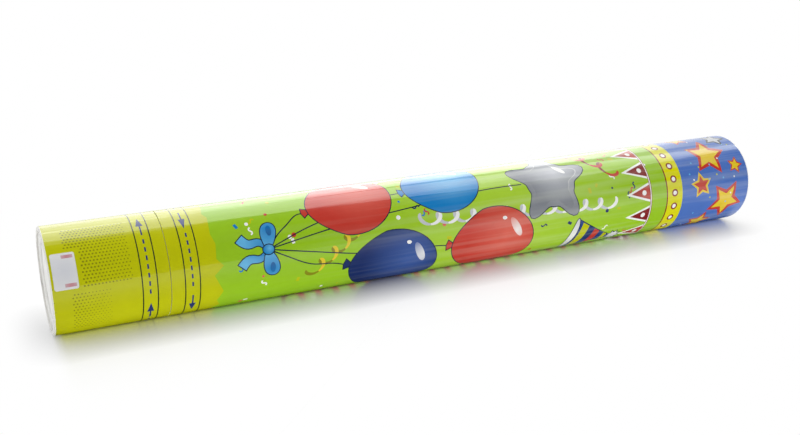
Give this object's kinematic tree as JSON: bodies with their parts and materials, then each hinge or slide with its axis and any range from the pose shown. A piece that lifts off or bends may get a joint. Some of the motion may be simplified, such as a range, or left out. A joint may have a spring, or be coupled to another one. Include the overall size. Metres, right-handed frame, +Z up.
{
  "type": "confetti popper",
  "caption": "Card tube confetti popper with a turning grip: a helical cam lifts a plug off an air cylinder, and the air drives a wad, paper slips and the muzzle cover out.",
  "frame": {"origin": "on the ground under the middle of the tube, which lies on its side", "axes": "+X along the tube from the grip's end to the muzzle, +Z up; seen from the front, which is -Y, the grip is at the left"},
  "size_m": [0.4, 0.051, 0.051],
  "materials": {
    "printed_grip": "gloss laminated print on spiral-wound board",
    "printed_barrel": "gloss laminated print on spiral-wound board",
    "white_plastic": "moulded, satin",
    "natural_plastic": "moulded, unpigmented",
    "grey_plastic": "moulded, satin",
    "dark_plastic": "moulded, satin",
    "felt": "pressed felt",
    "drawn_aluminium": "drawn, bright",
    "spring_steel": "ground",
    "black_rubber": "moulded rubber",
    "grey_board": "pressed grey board",
    "red_paper": "dyed tissue",
    "yellow_paper": "dyed tissue",
    "blue_paper": "dyed tissue",
    "green_paper": "dyed tissue",
    "silver_paper": "metallised paper"
  },
  "bodies": {
    "barrel": {"barrel_tube": "printed_barrel", "barrel_bush": "natural_plastic", "valve_cage": "white_plastic"},
    "grip": {"grip_tube": "printed_grip", "end_cap": "white_plastic", "base_pad": "felt", "air_cylinder": "drawn_aluminium", "fill_plug": "black_rubber", "grip_core": "grey_plastic", "spigot_ring": "black_rubber", "retaining_ring": "spring_steel", "valve_seat": "natural_plastic", "neck_gasket": "black_rubber", "crimp_ferrule": "drawn_aluminium", "cam_collar": "dark_plastic"},
    "plug": {"release_plug": "dark_plastic", "plug_ring": "black_rubber", "cross_pin": "spring_steel"},
    "charge": {"pusher_wad": "grey_board", "confetti_red": "red_paper", "confetti_yellow": "yellow_paper", "confetti_blue": "blue_paper", "confetti_green": "green_paper", "confetti_silver": "silver_paper"},
    "cover": {"muzzle_cover": "grey_board"}
  },
  "joints": [
    {"name": "grip_twist", "type": "hinge", "parent": "barrel", "child": "grip", "pos_m": [-0.1475, 0, 0.0255], "axis": [-1, 0, 0], "range_deg": [0, 90]},
    {"name": "plug_lift", "type": "slide", "parent": "barrel", "child": "plug", "axis": [1, 0, 0], "range_m": [0, 0.009]},
    {"name": "charge_slide", "type": "slide", "parent": "barrel", "child": "charge", "axis": [1, 0, 0], "range_m": [0, 0.28]},
    {"name": "cover_slide", "type": "slide", "parent": "barrel", "child": "cover", "axis": [1, 0, 0], "range_m": [0, 0.31]}
  ],
  "couplings": [
    {"joint": "plug_lift", "follows": "grip_twist", "m_per_rad": 0.005729},
    {"joint": "cover_slide", "follows": "charge_slide", "ratio": 1.1}
  ]
}
